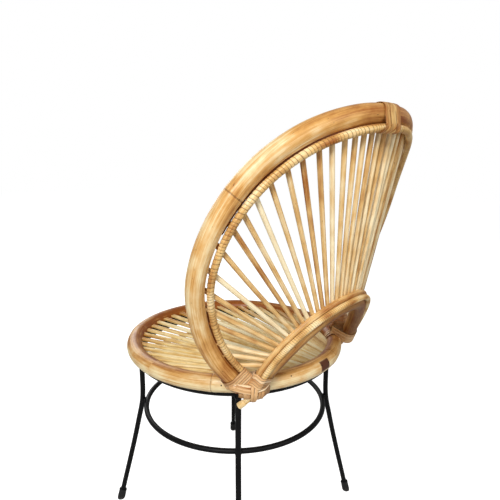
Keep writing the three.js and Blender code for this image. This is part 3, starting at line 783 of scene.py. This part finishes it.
def belt(centres, radii, angle, spare):
    """Round circles in a plane, the point of the taut belt that faces each angle: of all the circles, the one
    that reaches furthest that way, at its radius and a spare. Also gives the facing directions."""
    facing = np.stack([np.cos(angle), np.sin(angle)], axis=-1)
    best = np.argmax(np.sum(centres * facing, axis=-1) + radii[:, None], axis=0)
    chosen = np.broadcast_to(centres, (len(radii), len(angle), 2))[best, np.arange(len(angle))]
    return chosen + (radii[best] + spare)[:, None] * facing, facing


BINDING_FINISH = rattan("flat_cane_strip", tint(160, 102, 50), tint(218, 174, 122), tint(246, 220, 180),
                        tint(76, 38, 14), gloss=0.1)
wrap_angle = np.linspace(0, 2 * np.pi, 72, endpoint=False)
wrap_centres = np.array([[[0.0, 0.0]], [[INNER_INSET, INNER_BEHIND]]])
wrap_radii = np.array([HOOP_POLE / 2, WOUND_RADIUS])
ring_points, facing = belt(wrap_centres, wrap_radii, wrap_angle, spare=0.0008)
wrap_strips = []
for place, narrowing, own in WRAP_PLACES:
    run = WRAP_MIDDLE + place + (WRAP_LEAN - narrowing) * np.cos(wrap_angle)
    inward = at_run(HOOP, run, INWARD)
    behind = at_run(HOOP, run, BEHIND)
    path = at_run(HOOP, run) + ring_points[:, :1] * inward + ring_points[:, 1:] * behind
    out = facing[:, :1] * inward + facing[:, 1:] * behind
    wrap_strips.append(strip(path, out, WRAP_WIDTH, thickness=0.0011, ring=True, tone=own, edge_shade=0.3))
assemble("top_wrap_strips", wrap_strips, WINDING_FINISH, ["top_wrap"], crease=60)


# Foot lashings
# Flat cane wound round the seat ring, the base ring and the feet of the hoop and arch where they meet.
# Slanted turns hold each foot, level ones run round both, and upright ties draw them down to the two rings.
# On the left the feet are bound more tightly, with wide bands round the arch's leg and the hoop's foot. The
# bands round the hoop's foot are dark, a painted shade.

RIGHT_BULGE = np.array([
    [38.6, 0.0, 0.0, 0.0],
    [40.0, 20.0, 6.0, 0.0],
    [41.5, 33.5, 14.0, 0.0],
    [43.5, 37.5, 14.0, 0.0],
    [45.7, 36.0, 9.5, 0.5],
    [50.0, 38.0, 6.0, 1.0],
    [54.0, 33.0, 6.0, 1.0],
    [57.0, 19.0, 5.0, 0.0],
    [60.0, 7.0, 2.0, 0.0],
    [63.0, 1.0, 0.0, 0.0],
    [66.0, 0.0, 0.0, 0.0],
])
LEFT_BULGE = np.array([
    [43.0, 0.0, 0.0, 0.0],
    [46.0, 8.0, 3.0, 1.0],
    [52.0, 8.0, 3.0, 1.0],
    [55.0, 0.0, 0.0, 0.0],
])
LEVEL_TURNS = [
    [(44, 125), (40.6, 85), (39.4, 50), (41.2, 42), (45.6, 44), (50.3, 46)],
    [(44, 122), (40.7, 80), (39.6, 42), (41.7, 33), (45.6, 32), (50.2, 34)],
    [(44, 120), (40.8, 75), (40.0, 34), (43.0, 22), (46.6, 22), (50.1, 23)],
    [(44, 118), (41.0, 70), (40.4, 26), (43.5, 11), (46.6, 11), (50.1, 11)],
]
UPRIGHT_TIES = [
    [(53.5, 150), (52.5, 110), (51.5, 75), (51.0, 26), (50.6, -24), (50.2, -70), (50.0, -120)],
    [(51.5, 150), (51.0, 110), (50.0, 76), (49.7, 40), (49.6, -24), (49.6, -70), (49.8, -120)],
]
LOWER_TIES = [(46.8, 47.4, 48.8), (48.0, 48.4, 49.2), (52.4, 52.0, 51.0), (53.8, 53.2, 51.8)]
SHORT_TIES = [(47.5, 47.8), (49.6, 49.4), (53.0, 50.6)]
TIE_THICKNESS = 0.0016
TIE_EDGE_SHADE = 0.9
TIP_RADIUS = 0.0157
BASE_RING_PLACE = np.array([-0.0054, -0.0222])
KNOT_PLACE = np.array([0.0131, -0.0217, 0.0109])
PACK_PLACE = np.array([0.0170, -0.0195, 0.0])
TIE_CHANCE = np.random.default_rng(3)


def on_bundle(bearing, angle, side, bulge, spare):
    """Points on the tied bundle and the directions out of it: in the upright plane at each bearing round the
    seat they lie on the taut belt round the seat ring, the base ring and a tip that reaches out round the
    feet, where the belt faces each angle. bulge gives, at bearings, the tip's reach and rise in millimetres
    and how far the belt goes down to the base ring."""
    reach, rise, down = [np.interp(np.degrees(bearing), bulge[:, 0], column) for column in bulge[:, 1:].T]
    ring = np.stack([SEAT_RADIUS + 0 * reach, 0 * rise], axis=-1)
    tip = ring + 0.001 * np.stack([reach, rise], axis=-1)
    centres = np.stack([ring, ring + down[:, None] * BASE_RING_PLACE, tip])
    flat, facing = belt(centres, np.array([SEAT_POLE / 2, BAR / 2, TIP_RADIUS]), angle, spare)
    outward = np.stack([side * np.cos(bearing), np.sin(bearing), 0 * bearing], axis=-1)
    path = SEAT + flat[:, :1] * outward + flat[:, 1:] * UP
    return path, facing[:, :1] * outward + facing[:, 1:] * UP


def laid(marks, side, bulge, spare, width, tone):
    """A strip laid on the tied bundle along listed bearings round the seat and facing angles."""
    places = np.radians(np.array(marks, dtype=float))
    bearing, angle = bend(places, measure(places), count=90).T
    path, out = on_bundle(bearing, angle, side, bulge, spare)
    return strip(path, out, width, TIE_THICKNESS, False, tone, TIE_EDGE_SHADE)


def core(side, bulge, start, end):
    """The mass of older turns under the laid strips: the belts of the bundle from one bearing to another,
    joined to one skin whose fibres run round it. It is dark, a painted shade in the gaps between the strips."""
    rows = np.radians(np.linspace(start, end, 26)[::-side])
    bearing, angle = np.meshgrid(rows, np.linspace(0, 2 * np.pi, 40, endpoint=False), indexing="ij")
    path = on_bundle(bearing.ravel(), angle.ravel(), side, bulge, spare=0.0002)[0]
    grain = np.stack([0.2 * bearing, 0 * bearing, 0.02 * angle], axis=-1)
    # Painted shade: tone and mark of 0.3 make the core dark brown, the shade seen in the gaps between strips.
    shade = np.full(bearing.shape, 0.3)
    return {"skin": path.reshape(grain.shape), "grain": grain, "ring": False, "tone": shade, "mark": shade}


def foot_turn(foot, rods, radii, side, near_run, far_run, spare, width, tone):
    """One slanted turn round a foot and the rods beside it: it keeps to the taut belt round their circles
    while its place, measured up the foot from its end, moves evenly from the near run to the far one."""
    angle = np.radians(np.linspace(160, -160, 80))
    length = measure(foot)[-1]
    run = length - np.linspace(near_run, far_run, 80)
    centre = at_run(foot, run)
    along = unit(at_run(foot, length - 0.002) - at_run(foot, length - 0.030))
    outward = unit((at_run(foot, length) - SEAT) * [1, 1, 0])
    first = unit(outward - np.dot(outward, along) * along)
    second = side * np.cross(along, first)
    beside = [at_run(foot, run, held) - centre for held in rods]
    centres = np.stack([np.stack([gap @ first, gap @ second], axis=-1) for gap in beside])
    flat, facing = belt(centres, np.array(radii), angle, spare)
    path = centre + flat[:, :1] * first + flat[:, 1:] * second
    out = facing[:, :1] * first + facing[:, 1:] * second
    return strip(path, out, width, TIE_THICKNESS, False, tone, TIE_EDGE_SHADE)


def foot_turns(count, foot, rods, radii, side, runs, step, spare, width, tone, spread, rise=0.0):
    """Turns that follow each other round a foot: each lies a step up the foot from the one before, or down it
    where step is below 0, stands out further by rise, and has its own tone by chance."""
    turns = []
    for order in range(count):
        near_run, far_run = np.array(runs) + step * order
        own = tone + TIE_CHANCE.normal(0, spread)
        turns.append(foot_turn(foot, rods, radii, side, near_run, far_run, spare + rise * order, width, own))
    return turns


arch_rods = [ARCH_LINE, rod_on_pole(ARCH_LINE, step=0)[0], rod_on_pole(ARCH_LINE, TOP_ROD_STEP)[0]]
arch_radii = [ARCH_POLE / 2, ARCH_ROD / 2, ARCH_ROD / 2]
hoop_radii = [HOOP_POLE / 2, INNER_ROD]
lashing = [core(1, RIGHT_BULGE, start=44.8, end=57.5)]
for order, marks in enumerate(LEVEL_TURNS):
    own = 0.50 + TIE_CHANCE.normal(0, 0.12)
    lashing.append(laid(marks, 1, RIGHT_BULGE, spare=0.0012 + 0.0001 * order, width=0.0054, tone=own))
for order in range(6):
    drop = 9.0 * order
    marks = [(50.4, 64 - drop), (54.0, 70 - drop), (58.5 - 0.4 * order, 80 - drop),
             (62.0 - 0.9 * order, 92 - drop), (64.0 - order, 120 - 0.5 * drop), (64.0, 165)]
    own = 0.44 + TIE_CHANCE.normal(0, 0.12)
    lashing.append(laid(marks, 1, RIGHT_BULGE, spare=0.0018 - 0.0001 * order, width=0.0056, tone=own))
for order, marks in enumerate(UPRIGHT_TIES):
    own = 0.54 - 0.1 * order
    lashing.append(laid(marks, 1, RIGHT_BULGE, spare=0.0034 - 0.0004 * order, width=0.0060, tone=own))
for upper, middle, lower in LOWER_TIES:
    marks = [(upper, 12), (middle, -38), (middle, -70), (lower, -120)]
    own = 0.40 + TIE_CHANCE.normal(0, 0.12)
    lashing.append(laid(marks, 1, RIGHT_BULGE, spare=0.0007, width=0.0060, tone=own))
lashing += foot_turns(6, HOOP, [HOOP, inner_path], hoop_radii, side=-1, runs=(0.025, 0.033), step=-0.0044,
                      spare=0.0010, width=0.0043, tone=0.44, spread=0.14, rise=0.0001)
lashing += foot_turns(5, ARCH_LINE, arch_rods, arch_radii, side=1, runs=(0.022, 0.040), step=-0.0044,
                      spare=0.0010, width=0.0043, tone=0.44, spread=0.14)
assemble("right_lashing_strips", lashing, BINDING_FINISH, ["lashing_right"], crease=60)

left_arch = ARCH_LINE[::-1]
left_hoop = HOOP[::-1]
knot_radii = [ARCH_POLE / 2, 0.0090]
pack_radii = [HOOP_POLE / 2, 0.0080]
lashing = [core(-1, LEFT_BULGE, start=45.0, end=53.0)]
for upper, lower in SHORT_TIES:
    marks = [(upper, 170), (upper, 90), (lower, 0), (lower, -70), (lower, -120), (upper, -170)]
    own = 0.30 + TIE_CHANCE.normal(0, 0.1)
    lashing.append(laid(marks, -1, LEFT_BULGE, spare=0.0010, width=0.0068, tone=own))
lashing += foot_turns(4, left_arch, [left_arch, left_arch + KNOT_PLACE], knot_radii, side=-1,
                      runs=(0.004, 0.008), step=0.0085, spare=0.0012, width=0.0092, tone=0.50, spread=0.06)
lashing += foot_turns(6, left_hoop, [left_hoop, inner_path[::-1]], hoop_radii, side=1,
                      runs=(0.042, 0.038), step=-0.0066, spare=0.0010, width=0.0070, tone=0.26, spread=0.1)
# Painted shade: the wide bands round the hoop's foot have tone 0.12, dark as the shade under the arch's leg.
lashing += foot_turns(4, left_hoop, [left_hoop, left_hoop + PACK_PLACE], pack_radii, side=1,
                      runs=(0.0095, 0.0075), step=0.0085, spare=0.0022, width=0.0092, tone=0.12, spread=0.06)
assemble("left_lashing_strips", lashing, BINDING_FINISH, ["lashing_left"], crease=60)


# Floor, light and camera
# A pale studio floor that runs white into the backdrop, a soft lamp high behind the camera, a weaker one on
# its right, one more on the chair's front side, and an even white surround.

VIEW_ANGLES = np.radians([130.7013, 21.2126, 1.0031])
EYE = SEAT + np.array([0.66712, 0.63521, 0.38112])
LAMP_AIM = SEAT + 0.15 * UP
SEEN_LEVEL = 0.9
SHINE_LEVEL = 0.3
SURROUND_LEVEL = 0.1
FLOOR_REACH = 9
FLOOR_SEEN = (0.91, 0.91, 0.91, 1)
FLOOR_VALUES = {"Base Color": (0.62, 0.62, 0.62, 1), "Roughness": 0.8, "Emission Strength": 1.0}


def standing(right, up, back, place):
    """The pose of a lamp or camera that stands at a place with these three directions of its own."""
    pose = np.eye(4)
    pose[:3] = np.stack([right, up, back, place], axis=-1)
    return Matrix(pose.tolist())


def lamp(name, place, aim, size, power):
    """A square soft lamp at a place, turned to face its aim."""
    light = bpy.data.lights.new(name, "AREA")
    light.size = size
    light.energy = power
    stand = bpy.data.objects.new(name, light)
    back = unit(place - aim)
    right = unit(np.cross(UP, back))
    stand.matrix_world = standing(right, np.cross(back, right), back, place)
    bpy.context.scene.collection.objects.link(stand)


azimuth, elevation, roll = VIEW_ANGLES
level_right = np.array([np.cos(azimuth), np.sin(azimuth), 0.0])
level_back = np.array([np.sin(azimuth), -np.cos(azimuth), 0.0])
back = level_back * np.cos(elevation) + UP * np.sin(elevation)
level_up = np.cross(back, level_right)
right = level_right * np.cos(roll) + level_up * np.sin(roll)
up = level_up * np.cos(roll) - level_right * np.sin(roll)
camera_data = bpy.data.cameras.new("photo_camera")
camera_data.lens = 32.4
camera_data.sensor_width = 36.0
camera_data.shift_x = -0.0132
camera_data.shift_y = 0.1546
camera = bpy.data.objects.new("photo_camera", camera_data)
camera.matrix_world = standing(right, up, back, EYE)
bpy.context.scene.collection.objects.link(camera)
bpy.context.scene.camera = camera

lamp("key_lamp", SEAT + 2.3 * back - 0.45 * right + 0.85 * UP, LAMP_AIM, size=0.8, power=60)
lamp("fill_lamp", SEAT + 1.5 * back + 1.6 * right + 0.5 * UP, LAMP_AIM, size=1.2, power=14)
lamp("front_lamp", SEAT + np.array([-0.7, -2.3, 1.2]), LAMP_AIM, size=1.4, power=26)

world = bpy.data.worlds.new("white_surround")
world.use_nodes = True
bpy.context.scene.world = world
surround = Nodes(world.node_tree)
seen_ray = surround.node("ShaderNodeLightPath", {}, {}, "Is Camera Ray")
shine_ray = surround.node("ShaderNodeLightPath", {}, {}, "Is Glossy Ray")
level = seen_ray * SEEN_LEVEL + shine_ray * SHINE_LEVEL + SURROUND_LEVEL
background = world.node_tree.nodes["Background"]
background.inputs["Color"].default_value = (1, 1, 1, 1)
world.node_tree.links.new(level.socket, background.inputs["Strength"])

floor_mesh = bpy.data.meshes.new("studio_floor")
floor_corners = FLOOR_REACH * np.array([(-1, -1, 0), (1, -1, 0), (1, 1, 0), (-1, 1, 0)])
floor_mesh.from_pydata(floor_corners.tolist(), [], [(0, 1, 2, 3)])
floor = bpy.data.objects.new("studio_floor", floor_mesh)
bpy.context.scene.collection.objects.link(floor)
floor_finish = Finish("pale_studio_floor", FLOOR_VALUES)
floor_seen = floor_finish.node("ShaderNodeLightPath", {}, {}, "Is Camera Ray")
floor_finish.feed("Emission Color", floor_finish.mix(floor_seen, (0, 0, 0, 1), FLOOR_SEEN))
floor_mesh.materials.append(floor_finish.material)

bpy.context.scene.view_settings.view_transform = "Standard"
